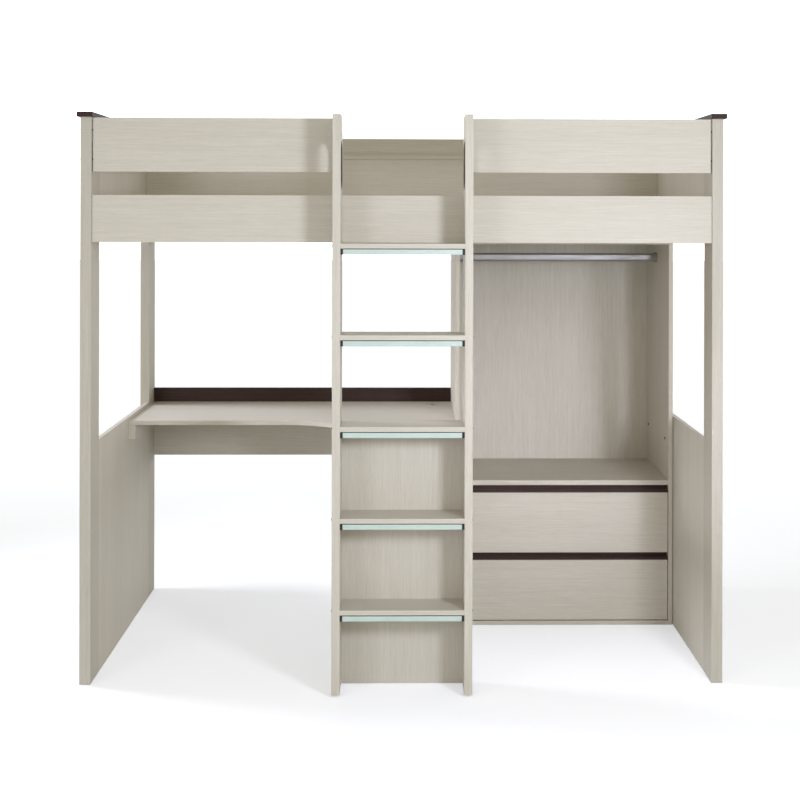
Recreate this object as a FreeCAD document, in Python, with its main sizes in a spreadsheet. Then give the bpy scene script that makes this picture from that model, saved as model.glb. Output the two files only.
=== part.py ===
import FreeCAD, Part
import math
import os
import re
import Sketcher
from FreeCAD import Placement, Rotation, Vector

# High sleeper bed in melamine-faced board: two end frames carry a slatted bed box, with a fixed
# ladder in front, a corner desk under the left half and an open wardrobe with two drawers under
# the right half. Millimetres, +Z up, the front towards -Y, origin on the floor at the middle.

TREADS = 5
PANEL_TREAD = TREADS // 2
SLATS = 14
DRAWERS = ("lower", "upper")
SHANK_SIDES = 6
HEAD_SIDES = 6
SIDES = (("left", -1), ("right", 1))

DIMENSIONS = {
    "mattress_length": (2000, "mattress that the bed takes"),
    "mattress_width": (900, "mattress that the bed takes"),
    "mattress_end_gap": (10, "room left at each end of the mattress"),
    "mattress_side_gap": (6, "room left at each long side of the mattress"),
    "edge_ease": (0.8, "eased edge of every board"),
    "fit": (0.2, "clearance around a piece that is let into another"),
    "post_thick": (36, "post, across the bed's length"),
    "post_width": (118, "post, across the bed's depth"),
    "post_rise": (2, "post top above the front guard's top"),
    "cap_thick": (16, "dark cap board on each end frame"),
    "cap_outer_overhang": (10.5, "cap past the outer face of the posts"),
    "cap_inner_overhang": (4.5, "cap past the inner face of the posts"),
    "cap_front_overhang": (8, "cap past the front face of the posts"),
    "end_panel_thick": (16, "boards between the posts"),
    "sill_rise": (12, "top of the lower end panels above the desk"),
    "rail_bottom": (1435, "underside of the bed box"),
    "rail_height": (154, "front bed rail"),
    "rail_thick": (28, "front bed rail"),
    "rail_setback": (6, "rail and guards behind the front face of the posts"),
    "guard_gap": (75, "open strip between the rail and the guards"),
    "guard_height": (176, "front guard boards"),
    "guard_thick": (18, "front guard boards"),
    "guard_end_gap": (4, "shadow gap between a guard and its post"),
    "well_wall_height": (310, "board along the rear of the mattress"),
    "well_wall_thick": (18, "board along the rear of the mattress"),
    "ledge_depth": (167, "bedside ledge, from the well wall to the rear guard"),
    "ledge_thick": (16, "bedside ledge"),
    "ledge_nose": (2, "ledge past the face of the well wall"),
    "rear_guard_thick": (18, "rear board of the bed box"),
    "rear_guard_drop": (5, "rear guard top below the front guard's top"),
    "bearer_lift": (12, "slat bearer above the underside of the bed box"),
    "bearer_height": (28, "slat bearer"),
    "bearer_width": (22, "slat bearer"),
    "slat_width": (70, "bed slat"),
    "slat_thick": (18, "bed slat"),
    "slat_margin": (20, "first slat from the end panel"),
    "slat_end_gap": (2, "slat end to the well's side"),
    "ladder_width": (446, "ladder over both stringers"),
    "stringer_thick": (26, "ladder stringer"),
    "stringer_depth": (132, "ladder stringer and treads, front to rear"),
    "stringer_rise": (5, "stringer top above the front guard's top"),
    "glide_height": (7.5, "square glides under the stringers"),
    "glide_size": (20, "square glides under the stringers"),
    "glide_edge": (33, "glide centre from the stringer's front and rear edge"),
    "first_step": (276, "top of the lowest tread"),
    "tread_thick": (16, "ladder tread"),
    "carrier_height": (19, "black channel under each tread nose"),
    "carrier_depth": (22, "black channel under each tread nose"),
    "carrier_end": (8, "closed end of the channel"),
    "carrier_lip": (2, "channel above the glow strip"),
    "strip_thick": (6, "glow strip in the channel"),
    "ladder_panel_thick": (16, "board that closes the lower ladder"),
    "grip_width": (88, "hand grip over its rim"),
    "grip_height": (156, "hand grip over its rim"),
    "grip_lift": (18, "hand grip above the top of the rail"),
    "grip_proud": (0.8, "grip rim thickness"),
    "grip_wall": (2.5, "grip lining of the hand hole"),
    "grip_rim": (4, "grip rim on the stringer's face"),
    "desk_height": (765, "top of the desk"),
    "desk_thick": (16, "desk top"),
    "desk_depth": (531, "desk top at the left end"),
    "return_width": (367, "desk top where it meets the ladder panel"),
    "desk_curve": (270, "radius of the desk's inner corner"),
    "upstand_height": (55, "dark board along the rear of the desk"),
    "upstand_thick": (18, "dark board along the rear of the desk"),
    "apron_height": (201, "board under the rear of the desk"),
    "apron_thick": (18, "board under the rear of the desk"),
    "cleat_width": (24, "desk cleat"),
    "cleat_height": (54, "desk cleat"),
    "cleat_inset": (6, "cleat end behind the desk's front edge"),
    "grommet_x": (120, "cable outlet from the middle of the bed"),
    "grommet_setback": (102, "cable outlet centre from the rear"),
    "grommet_hole": (58, "hole in the desk top"),
    "grommet_flange": (64, "outlet flange diameter"),
    "grommet_rim": (2, "outlet flange thickness"),
    "grommet_bore": (47, "cable way through the outlet"),
    "grommet_cap": (51, "seat of the turning cap"),
    "grommet_cap_thick": (2.5, "turning cap"),
    "cable_slot": (16, "slot width in the turning cap"),
    "turn_gap": (0.3, "clearance around the turning cap"),
    "wardrobe_width": (811, "wardrobe over both sides"),
    "wardrobe_depth": (504, "wardrobe, front to rear"),
    "wardrobe_end_gap": (2, "wardrobe to the right end frame"),
    "wardrobe_head_gap": (2, "wardrobe to the underside of the bed box"),
    "carcass_thick": (16, "wardrobe sides, top and base"),
    "shelf_thick": (18, "shelf above the drawers"),
    "shelf_bottom": (521, "underside of the shelf"),
    "back_thick": (8, "wardrobe back"),
    "back_inset": (45, "wardrobe back from the rear edge of the sides"),
    "back_groove": (6, "groove depth for the back"),
    "hang_drop": (71, "middle of the hanging rail below the top of the wardrobe"),
    "hang_setback": (237, "hanging rail behind the wardrobe's front edge"),
    "hang_tall": (30, "oval hanging rail"),
    "hang_wide": (15, "oval hanging rail"),
    "hang_wall": (1.2, "oval hanging rail"),
    "socket_rim": (4, "rail socket around the rail"),
    "socket_depth": (14, "rail socket"),
    "socket_floor": (3, "rail socket"),
    "drawer_gap": (2.5, "gap around a drawer front"),
    "drawer_head_gap": (3.5, "gap above and below a drawer front"),
    "front_thick": (18, "drawer front"),
    "pull_height": (24.5, "dark pull channel on a drawer front"),
    "pull_nose": (12, "front lip of the pull channel"),
    "pull_wall": (3, "wall of the pull channel"),
    "box_depth": (420, "drawer side"),
    "box_height": (160, "drawer side"),
    "box_side_thick": (15, "drawer side"),
    "box_back_thick": (12, "drawer back"),
    "box_side_gap": (2, "drawer side to the wardrobe side"),
    "box_lift": (10, "drawer side above the lower edge of its front"),
    "bottom_thick": (4, "drawer bottom"),
    "bottom_lift": (10, "drawer bottom above the lower edge of the sides"),
    "bottom_groove": (5, "groove depth for the drawer bottom"),
    "runner_wide": (9, "runner, out from the wardrobe side"),
    "runner_tall": (17, "runner"),
    "runner_length": (380, "runner"),
    "runner_front": (34, "runner behind the wardrobe's front edge"),
    "runner_lift": (70, "runner above the lower edge of the drawer side"),
    "runner_play": (0.3, "sliding clearance over the runner"),
    "bolt_size": (6, "bed bolt"),
    "bolt_play": (0.6, "bolt hole over the bolt"),
    "bolt_head": (17, "wide flat head of a bed bolt"),
    "bolt_head_tall": (2.2, "wide flat head of a bed bolt"),
    "nut_size": (10, "barrel nut"),
    "nut_length": (14, "barrel nut"),
    "nut_reach": (50, "barrel nut from the end of its board"),
    "bolt_tip": (9, "bolt past the middle of its nut"),
    "screw_size": (5, "assembly screw"),
    "screw_play": (0.3, "screw hole over the screw"),
    "screw_head": (10, "assembly screw head"),
    "screw_head_tall": (2.2, "assembly screw head"),
    "screw_bite": (22, "screw into the second board"),
    "rail_fix_low": (62, "lower rail fixing above the underside of the bed box"),
    "rail_fix_top": (31, "upper rail fixing below the rail's top"),
    "guard_fix_edge": (40, "guard fixings from its edges"),
    "wall_fix_edge": (78, "well wall and rear guard fixings from the well wall's edges"),
    "panel_fix_edge": (170, "ladder panel fixings from its top and foot"),
    "tread_screw_edge": (27, "tread screws from the stringer's edges"),
    "joint_screw_head": (11, "wardrobe joining screw"),
    "joint_screw_bite": (10, "wardrobe joining screw into the end frame"),
    "joint_screw_drop": (92, "wardrobe joining screws below the top of the end panel"),
    "joint_screw_front": (66, "front joining screw behind the wardrobe's front edge"),
    "joint_screw_rear": (96, "rear joining screw from the bed's rear"),
}

doc = FreeCAD.newDocument("high_sleeper_bed")
sheet = doc.addObject("Spreadsheet::Sheet", "Dim")
for row, (alias, (value, note)) in enumerate(DIMENSIONS.items(), start=1):
    sheet.set(f"A{row}", alias)
    sheet.set(f"B{row}", str(value))
    sheet.set(f"C{row}", note)
    sheet.setAlias(f"B{row}", alias)
doc.recompute()

WORD = re.compile(r"[a-z][a-z_]+")


def cell_reference(word):
    """A dimension's name becomes a reference to its cell, and other words stay."""
    return f"Dim.{word.group()}" if word.group() in DIMENSIONS else word.group()


def bind(target, name, formula):
    """Tie a property to a formula in the names of the sheet's dimensions."""
    target.setExpression(name, WORD.sub(cell_reference, formula))


def place(target, corner):
    """Tie the place of a piece to three formulas."""
    for axis, formula in zip("xyz", corner):
        bind(target, f".Placement.Base.{axis}", formula)


# Planes and lengths that several pieces share, as formulas
HALF_CLEAR = "(mattress_length / 2 + mattress_end_gap)"
WELL_WIDTH = "(mattress_width + 2 * mattress_side_gap)"
FRAME_DEPTH = f"(rail_setback + rail_thick + {WELL_WIDTH} + ledge_depth + rear_guard_thick)"
REAR = f"(({FRAME_DEPTH} + stringer_depth - rail_setback) / 2)"
FRONT = f"({REAR} - {FRAME_DEPTH})"
RAIL_FACE = f"({FRONT} + rail_setback)"
WELL_FRONT = f"({RAIL_FACE} + rail_thick)"
WELL_REAR = f"({WELL_FRONT} + {WELL_WIDTH})"
RAIL_TOP = "(rail_bottom + rail_height)"
GUARD_BOTTOM = f"({RAIL_TOP} + guard_gap)"
GUARD_TOP = f"({GUARD_BOTTOM} + guard_height)"
POST_HEIGHT = f"({GUARD_TOP} + post_rise)"
LEDGE_BOTTOM = "(rail_bottom + well_wall_height)"
STRINGER_FRONT = f"({RAIL_FACE} - stringer_depth)"
STRINGER_INNER = "(ladder_width / 2 - stringer_thick)"
TREAD_LENGTH = f"(2 * {STRINGER_INNER})"
WARDROBE_RIGHT = f"({HALF_CLEAR} - wardrobe_end_gap)"
WARDROBE_LEFT = f"({WARDROBE_RIGHT} - wardrobe_width)"
WARDROBE_FRONT = f"({REAR} - wardrobe_depth)"
WARDROBE_HEIGHT = "(rail_bottom - wardrobe_head_gap)"
BAY_LEFT = f"({WARDROBE_LEFT} + carcass_thick)"
BAY_RIGHT = f"({WARDROBE_RIGHT} - carcass_thick)"
BAY_WIDTH = "(wardrobe_width - 2 * carcass_thick)"
BAY_DEPTH = "(wardrobe_depth - back_inset - back_thick)"
DESK_BOTTOM = "(desk_height - desk_thick)"

# Rotations that turn a cylinder's axis from +Z to the named direction
TURNS = {
    "+x": Rotation(Vector(0, 1, 0), 90),
    "-x": Rotation(Vector(0, 1, 0), -90),
    "+y": Rotation(Vector(1, 0, 0), -90),
    "-y": Rotation(Vector(1, 0, 0), 90),
    "+z": Rotation(),
    "-z": Rotation(Vector(1, 0, 0), 180),
}

pieces = []
corners = {}


def tread_top(number):
    """Height of a tread's top, with the highest tread level with the bed box's underside."""
    return f"(first_step + {number} * (rail_bottom - first_step) / {TREADS - 1})"


def new_body(label, corner):
    """An empty body, placed at its low corner and listed as a piece."""
    body = doc.addObject("PartDesign::Body", label)
    body.Label = label
    place(body, corner)
    pieces.append(body)
    corners[label] = corner
    return body


def ease_edges(body, feature):
    """Break every edge of a board."""
    ease = body.newObject("PartDesign::Chamfer", f"{body.Label}_ease")
    ease.Base = (feature, [""])
    ease.UseAllEdges = True
    bind(ease, "Size", "edge_ease")


def board(label, corner, size):
    """A board with eased edges, from its low corner and its size along X, Y and Z."""
    body = new_body(label, corner)
    blank = body.newObject("PartDesign::AdditiveBox", f"{label}_blank")
    for name, formula in zip(("Length", "Width", "Height"), size):
        bind(blank, name, formula)
    ease_edges(body, blank)
    return body


def within(body, point):
    """Formulas of a point of the bed, seen from a body's own corner."""
    return [f"({at}) - ({low})" for at, low in zip(point, corners[body.Label])]


def trench(body, corner, size):
    """Cut a straight-sided channel or rebate into a body."""
    cut = body.newObject("PartDesign::SubtractiveBox", f"{body.Label}_trench")
    for name, formula in zip(("Length", "Width", "Height"), size):
        bind(cut, name, formula)
    place(cut, within(body, corner))


def bore(body, start, direction, diameter, depth, sides=0):
    """Drill a body from a start point, round or with a fastener's few sides."""
    form = "Prism" if sides else "Cylinder"
    cut = body.newObject(f"PartDesign::Subtractive{form}", f"{body.Label}_bore")
    cut.Refine = False
    shape_round(cut, direction, diameter, depth, sides)
    place(cut, within(body, start))


def rod(name, start, direction, diameter, length, sides=0):
    """A plain bar, round or with a fastener's few sides."""
    bar = doc.addObject("Part::Prism" if sides else "Part::Cylinder", name)
    shape_round(bar, direction, diameter, length, sides)
    place(bar, start)
    return bar


def shape_round(target, direction, diameter, length, sides):
    """Turn a cylinder or prism to its direction and tie its size to two formulas."""
    target.Placement = Placement(Vector(), TURNS[direction])
    if sides:
        target.Polygon = sides
    bind(target, "Circumradius" if sides else "Radius", f"({diameter}) / 2")
    bind(target, "Height", length)


def block(name, corner, size):
    """A plain rectangular bar."""
    bar = doc.addObject("Part::Box", name)
    for prop, formula in zip(("Length", "Width", "Height"), size):
        bind(bar, prop, formula)
    place(bar, corner)
    return bar


def joined(name, base, tool):
    """Two solids made one."""
    fuse = doc.addObject("Part::Fuse", name)
    fuse.Base = base
    fuse.Tool = tool
    return fuse


def without(name, base, tool):
    """A solid less another."""
    cut = doc.addObject("Part::Cut", name)
    cut.Base = base
    cut.Tool = tool
    return cut


def group(label, members):
    """Like pieces that share one node, each its own solid."""
    pieces[:] = [piece for piece in pieces if piece not in members]
    compound = doc.addObject("Part::Compound", label)
    compound.Label = label
    compound.Links = members
    pieces.append(compound)
    return compound


def plane(body, role):
    """One of a body's own origin planes."""
    return next(item for item in body.Origin.OriginFeatures if item.Role == role)


def sketch_on(body, name, role):
    """An empty sketch on one of a body's origin planes."""
    sketch = body.newObject("Sketcher::SketchObject", f"{body.Label}_{name}")
    sketch.AttachmentSupport = (plane(body, role), [""])
    sketch.MapMode = "FlatFace"
    return sketch


def measure(sketch, name, formula, constraint):
    """Add a named dimension to a sketch and tie it to a formula."""
    index = sketch.addConstraint(constraint)
    sketch.renameConstraint(index, name)
    bind(sketch, f"Constraints.{name}", formula)


def draw_stadium(sketch, name, width, height):
    """An upright oval about the sketch's origin: two half circles joined by straight sides."""
    radius, rise = 5, 10
    up, out = Vector(0, rise, 0), Vector(radius, 0, 0)
    normal = Vector(0, 0, 1)
    crown = sketch.addGeometry(Part.ArcOfCircle(Part.Circle(up, normal, radius), 0, math.pi))
    left = sketch.addGeometry(Part.LineSegment(up - out, -up - out))
    foot = sketch.addGeometry(Part.ArcOfCircle(Part.Circle(-up, normal, radius), math.pi, 2 * math.pi))
    right = sketch.addGeometry(Part.LineSegment(-up + out, up + out))
    for first, second in ((crown, left), (left, foot), (foot, right), (right, crown)):
        sketch.addConstraint(Sketcher.Constraint("Tangent", first, 2, second, 1))
    sketch.addConstraint(Sketcher.Constraint("Equal", crown, foot))
    sketch.addConstraint(Sketcher.Constraint("PointOnObject", crown, 3, -2))
    sketch.addConstraint(Sketcher.Constraint("Symmetric", crown, 3, foot, 3, -1, 1))
    measure(sketch, f"{name}_radius", f"({width}) / 2", Sketcher.Constraint("Radius", crown, radius))
    centres = Sketcher.Constraint("DistanceY", foot, 3, crown, 3, 2 * rise)
    measure(sketch, f"{name}_centres", f"({height}) - ({width})", centres)


def pad(body, sketch, length, reverse=False):
    """Give a sketch its thickness."""
    feature = body.newObject("PartDesign::Pad", f"{sketch.Name}_pad")
    feature.Profile = sketch
    feature.Reversed = reverse
    bind(feature, "Length", length)
    return feature


def outward(sign, inner, thick):
    """Low X of a board whose inner face stands a given distance from the bed's middle."""
    return f"-({inner}) - ({thick})" if sign < 0 else inner


def inward(sign):
    """Direction along X from one end of the bed towards its middle."""
    return "+x" if sign < 0 else "-x"


# End frames: two posts, a lower panel, an upper panel and a dark cap at each end
PANEL_RUN = f"({FRAME_DEPTH} - 2 * post_width)"
frame = {}
for side, sign in SIDES:
    post_x = outward(sign, HALF_CLEAR, "post_thick")
    panel_x = outward(sign, HALF_CLEAR, "end_panel_thick")
    cap_width = "(post_thick + cap_inner_overhang + cap_outer_overhang)"
    post_size = ("post_thick", "post_width", POST_HEIGHT)
    frame[side, "front_post"] = board(f"{side}_front_post", (post_x, FRONT, "0"), post_size)
    rear_corner = (post_x, f"{REAR} - post_width", "0")
    frame[side, "rear_post"] = board(f"{side}_rear_post", rear_corner, post_size)
    frame[side, "lower_panel"] = board(
        f"{side}_lower_panel",
        (panel_x, f"{FRONT} + post_width", "0"),
        ("end_panel_thick", PANEL_RUN, "desk_height + sill_rise"),
    )
    frame[side, "upper_panel"] = board(
        f"{side}_upper_panel",
        (panel_x, f"{FRONT} + post_width", "rail_bottom"),
        ("end_panel_thick", PANEL_RUN, f"{POST_HEIGHT} - rail_bottom"),
    )
    board(
        f"{side}_cap",
        (
            outward(sign, f"({HALF_CLEAR} - cap_inner_overhang)", cap_width),
            f"{FRONT} - cap_front_overhang",
            POST_HEIGHT,
        ),
        (cap_width, f"{FRAME_DEPTH} + cap_front_overhang", "cap_thick"),
    )

# Bed box: front rail, two front guards, rear wall of the mattress well, ledge and rear guard
CLEAR = f"(2 * {HALF_CLEAR})"
front_rail = board(
    "front_rail",
    (f"-{HALF_CLEAR}", RAIL_FACE, "rail_bottom"),
    (CLEAR, "rail_thick", "rail_height"),
)
GUARD_LENGTH = f"({HALF_CLEAR} - guard_end_gap - {STRINGER_INNER})"
guards = {
    side: board(
        f"{side}_guard",
        (outward(sign, STRINGER_INNER, GUARD_LENGTH), RAIL_FACE, GUARD_BOTTOM),
        (GUARD_LENGTH, "guard_thick", "guard_height"),
    )
    for side, sign in SIDES
}
well_wall = board(
    "well_wall",
    (f"-{HALF_CLEAR}", WELL_REAR, "rail_bottom"),
    (CLEAR, "well_wall_thick", "well_wall_height"),
)
board(
    "bedside_ledge",
    (f"-{HALF_CLEAR}", f"{WELL_REAR} - ledge_nose", LEDGE_BOTTOM),
    (CLEAR, "ledge_depth + ledge_nose", "ledge_thick"),
)
rear_guard = board(
    "rear_guard",
    (f"-{HALF_CLEAR}", f"{REAR} - rear_guard_thick", "rail_bottom"),
    (CLEAR, "rear_guard_thick", f"{GUARD_TOP} - rear_guard_drop - rail_bottom"),
)

# Slatted base: two bearers screwed to the well's sides, and loose-laid slats across them
bearer_size = (CLEAR, "bearer_width", "bearer_height")
BEARER_BOTTOM = "rail_bottom + bearer_lift"
bearers = [
    board(f"{name}_bearer", (f"-{HALF_CLEAR}", bearer_y, BEARER_BOTTOM), bearer_size)
    for name, bearer_y in (("front", WELL_FRONT), ("rear", f"{WELL_REAR} - bearer_width"))
]
group("slat_bearers", bearers)
SLAT_PITCH = f"({CLEAR} - 2 * slat_margin - slat_width) / {SLATS - 1}"
slats = []
for number in range(SLATS):
    slat_corner = (
        f"-{HALF_CLEAR} + slat_margin + {number} * {SLAT_PITCH}",
        f"{WELL_FRONT} + slat_end_gap",
        f"{BEARER_BOTTOM} + bearer_height",
    )
    slat_size = ("slat_width", f"{WELL_WIDTH} - 2 * slat_end_gap", "slat_thick")
    slats.append(block(f"slat_{number + 1}", slat_corner, slat_size))
group("bed_slats", slats)

# Ladder: two stringers on glides, five treads, and a panel that closes the lower half
stringers = {
    side: board(
        f"{side}_stringer",
        (outward(sign, STRINGER_INNER, "stringer_thick"), STRINGER_FRONT, "glide_height"),
        ("stringer_thick", "stringer_depth", f"{GUARD_TOP} + stringer_rise - glide_height"),
    )
    for side, sign in SIDES
}
treads = [
    board(
        f"tread_{number + 1}",
        (f"-{STRINGER_INNER}", STRINGER_FRONT, f"{tread_top(number)} - tread_thick"),
        (TREAD_LENGTH, "stringer_depth", "tread_thick"),
    )
    for number in range(TREADS)
]
ladder_panel = board(
    "ladder_panel",
    ("-ladder_width / 2", RAIL_FACE, "0"),
    ("ladder_width", "ladder_panel_thick", tread_top(PANEL_TREAD)),
)
STRINGER_MIDDLE = "((ladder_width - stringer_thick) / 2)"
GLIDE_ROWS = (("front", f"{STRINGER_FRONT} + glide_edge"), ("rear", f"{RAIL_FACE} - glide_edge"))
glides = [
    block(
        f"{side}_{end}_glide",
        (f"{sign} * {STRINGER_MIDDLE} - glide_size / 2", f"{glide_y} - glide_size / 2", "0"),
        ("glide_size", "glide_size", "glide_height"),
    )
    for side, sign in SIDES
    for end, glide_y in GLIDE_ROWS
]
group("ladder_glides", glides)

# Black channel under each tread nose, and the pale glow strip that it holds
STRIP_LENGTH = f"({TREAD_LENGTH} - 2 * carrier_end)"
carriers = []
strips = []
for number in range(TREADS):
    carrier_bottom = f"{tread_top(number)} - tread_thick - carrier_height"
    channel = block(
        f"channel_{number + 1}",
        (f"-{STRINGER_INNER}", STRINGER_FRONT, carrier_bottom),
        (TREAD_LENGTH, "carrier_depth", "carrier_height"),
    )
    strip_corner = (f"-{STRINGER_INNER} + carrier_end", STRINGER_FRONT, carrier_bottom)
    strip_size = (STRIP_LENGTH, "strip_thick", "carrier_height - carrier_lip")
    room = block(f"strip_room_{number + 1}", strip_corner, strip_size)
    carriers.append(without(f"carrier_{number + 1}", channel, room))
    strips.append(block(f"glow_strip_{number + 1}", strip_corner, strip_size))
group("tread_channels", carriers)
group("tread_glow_strips", strips)

# Black hand grips: oval linings of hand holes through the stringers, rimmed on the climber's side
GRIP_MIDDLE = f"({STRINGER_FRONT} + stringer_depth / 2)"
GRIP_HEART = f"({RAIL_TOP} + grip_lift + grip_height / 2)"
GRIP_STRAIGHT = "(grip_height - grip_width)"
SLEEVE_WIDTH = "(grip_width - 2 * grip_rim)"
SLEEVE_HEIGHT = "(grip_height - 2 * grip_rim)"
HAND_HOLE = f"({SLEEVE_WIDTH} + 2 * fit)"
for side, sign in SIDES:
    stringer_x = outward(sign, STRINGER_INNER, "stringer_thick")
    trench(
        stringers[side],
        (stringer_x, f"{GRIP_MIDDLE} - {HAND_HOLE} / 2", f"{GRIP_HEART} - {GRIP_STRAIGHT} / 2"),
        ("stringer_thick", HAND_HOLE, GRIP_STRAIGHT),
    )
    for end in (-1, 1):
        centre = (stringer_x, GRIP_MIDDLE, f"{GRIP_HEART} + {end} * {GRIP_STRAIGHT} / 2")
        bore(stringers[side], centre, "+x", HAND_HOLE, "stringer_thick")
    grip = new_body(f"{side}_grip", (f"{sign} * ({STRINGER_INNER} - grip_proud)", GRIP_MIDDLE, GRIP_HEART))
    rings = (
        ("sleeve", SLEEVE_WIDTH, SLEEVE_HEIGHT, "stringer_thick + grip_proud"),
        ("rim", "grip_width", "grip_height", "grip_proud"),
    )
    for name, width, height, thick in rings:
        ring = sketch_on(grip, name, "YZ_Plane")
        draw_stadium(ring, "outside", width, height)
        hole_width = f"{SLEEVE_WIDTH} - 2 * grip_wall"
        draw_stadium(ring, "inside", hole_width, f"{SLEEVE_HEIGHT} - 2 * grip_wall")
        pad(grip, ring, thick, reverse=sign < 0)

# Desk: an L-shaped top with a rounded inner corner, dark upstand, apron, cleats and cable outlet
LADDER_BACK = f"({RAIL_FACE} + ladder_panel_thick)"
DESK_RUN = f"({WARDROBE_LEFT} + {HALF_CLEAR})"
DESK_REACH = f"({REAR} - {LADDER_BACK})"
desk_top = new_body("desk_top", (f"-{HALF_CLEAR}", LADDER_BACK, DESK_BOTTOM))
outline = sketch_on(desk_top, "outline", "XY_Plane")
unit = DIMENSIONS["desk_depth"][0]
desk_steps = [(1.5, 0.5), (1.5, 0), (2.5, 0), (2.5, 2), (0, 2), (0, 1), (1, 1)]
desk_points = [Vector(across * unit, along * unit, 0) for across, along in desk_steps]
for first, second in zip(desk_points, desk_points[1:]):
    outline.addGeometry(Part.LineSegment(first, second))
corner_circle = Part.Circle(Vector(unit, unit / 2, 0), Vector(0, 0, 1), unit / 2)
curve = outline.addGeometry(Part.ArcOfCircle(corner_circle, 0, math.pi / 2))
LEG, FOOT, RIGHT, BACK, END, NOSE = range(6)
for first, second in ((LEG, FOOT), (FOOT, RIGHT), (RIGHT, BACK), (BACK, END), (END, NOSE)):
    outline.addConstraint(Sketcher.Constraint("Coincident", first, 2, second, 1))
outline.addConstraint(Sketcher.Constraint("Tangent", NOSE, 2, curve, 2))
outline.addConstraint(Sketcher.Constraint("Tangent", curve, 1, LEG, 1))
for line in (FOOT, BACK, NOSE):
    outline.addConstraint(Sketcher.Constraint("Horizontal", line))
for line in (LEG, RIGHT, END):
    outline.addConstraint(Sketcher.Constraint("Vertical", line))
outline.addConstraint(Sketcher.Constraint("PointOnObject", FOOT, 1, -1))
outline.addConstraint(Sketcher.Constraint("PointOnObject", END, 1, -2))
measure(outline, "run", DESK_RUN, Sketcher.Constraint("DistanceX", BACK, 2, BACK, 1, 2.5 * unit))
measure(outline, "reach", DESK_REACH, Sketcher.Constraint("DistanceY", RIGHT, 1, RIGHT, 2, 2 * unit))
depth_rule = Sketcher.Constraint("DistanceY", END, 2, END, 1, unit)
measure(outline, "depth", "desk_depth", depth_rule)
return_rule = Sketcher.Constraint("DistanceX", FOOT, 1, FOOT, 2, unit)
measure(outline, "return_leg", "return_width", return_rule)
measure(outline, "curve", "desk_curve", Sketcher.Constraint("Radius", curve, unit / 2))
ease_edges(desk_top, pad(desk_top, outline, "desk_thick"))

GROMMET_Y = f"({REAR} - grommet_setback)"
bore(desk_top, ("grommet_x", GROMMET_Y, "desk_height"), "-z", "grommet_hole", "desk_thick")
upstand_y = f"{REAR} - upstand_thick"
upstand_size = (DESK_RUN, "upstand_thick", "upstand_height")
board("desk_upstand", (f"-{HALF_CLEAR}", upstand_y, "desk_height"), upstand_size)
board(
    "desk_apron",
    (f"-{HALF_CLEAR}", f"{REAR} - apron_thick", f"{DESK_BOTTOM} - apron_height"),
    (DESK_RUN, "apron_thick", "apron_height"),
)
cleats = [
    board(
        f"{side}_cleat",
        (cleat_x, f"{REAR} - {depth} + cleat_inset", f"{DESK_BOTTOM} - cleat_height"),
        ("cleat_width", f"{depth} - cleat_inset - apron_thick", "cleat_height"),
    )
    for side, cleat_x, depth in (
        ("left", f"-{HALF_CLEAR}", "desk_depth"),
        ("right", f"{WARDROBE_LEFT} - cleat_width", "wardrobe_depth"),
    )
]
group("desk_cleats", cleats)

# Cable outlet: a flanged sleeve in the desk top, and a slotted cap that turns on its inner step
outlet_foot = ("grommet_x", GROMMET_Y, DESK_BOTTOM)
outlet_top = ("grommet_x", GROMMET_Y, "desk_height")
outlet_rim = ("grommet_x", GROMMET_Y, "desk_height + grommet_rim")
sleeve = rod("outlet_sleeve", outlet_foot, "+z", "grommet_hole - 2 * fit", "desk_thick + grommet_rim")
flange = rod("outlet_flange", outlet_top, "+z", "grommet_flange", "grommet_rim")
cable_way = rod("outlet_way", outlet_foot, "+z", "grommet_bore", "desk_thick + grommet_rim")
seat = rod("outlet_seat", outlet_rim, "-z", "grommet_cap", "grommet_cap_thick")
outlet_body = without("outlet_body", joined("outlet_shell", sleeve, flange), cable_way)
cable_outlet = without("cable_outlet", outlet_body, seat)
cable_outlet.Label = "cable_outlet"
disc = rod("cap_disc", outlet_rim, "-z", "grommet_cap - 2 * turn_gap", "grommet_cap_thick")
slot = block(
    "cap_slot",
    ("grommet_x - cable_slot / 2", f"{GROMMET_Y} - grommet_cap / 2", "desk_height - desk_thick"),
    ("cable_slot", "cable_slot", "desk_thick + grommet_rim"),
)
outlet_cap = without("cable_outlet_cap", disc, slot)
outlet_cap.Label = "cable_outlet_cap"
pieces.extend((cable_outlet, outlet_cap))

# Wardrobe carcass: sides, top, shelf and base, with a thin back let into the sides
side_size = ("carcass_thick", "wardrobe_depth", WARDROBE_HEIGHT)
carcass = {
    "left": board("wardrobe_left_side", (WARDROBE_LEFT, WARDROBE_FRONT, "0"), side_size),
    "right": board("wardrobe_right_side", (BAY_RIGHT, WARDROBE_FRONT, "0"), side_size),
}
levels = {
    "wardrobe_base": ("0", "carcass_thick"),
    "wardrobe_shelf": ("shelf_bottom", "shelf_thick"),
    "wardrobe_top": (f"{WARDROBE_HEIGHT} - carcass_thick", "carcass_thick"),
}
for label, (bottom, thick) in levels.items():
    board(label, (BAY_LEFT, WARDROBE_FRONT, bottom), (BAY_WIDTH, BAY_DEPTH, thick))
BACK_FACE = f"({WARDROBE_FRONT} + {BAY_DEPTH})"
board(
    "wardrobe_back",
    (f"{BAY_LEFT} - back_groove + fit", BACK_FACE, "0"),
    (f"{BAY_WIDTH} + 2 * (back_groove - fit)", "back_thick", WARDROBE_HEIGHT),
)
for side, groove_x in (("left", f"{BAY_LEFT} - back_groove"), ("right", BAY_RIGHT)):
    groove_size = ("back_groove", "back_thick + 2 * fit", WARDROBE_HEIGHT)
    trench(carcass[side], (groove_x, f"{BACK_FACE} - fit", "0"), groove_size)

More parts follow.
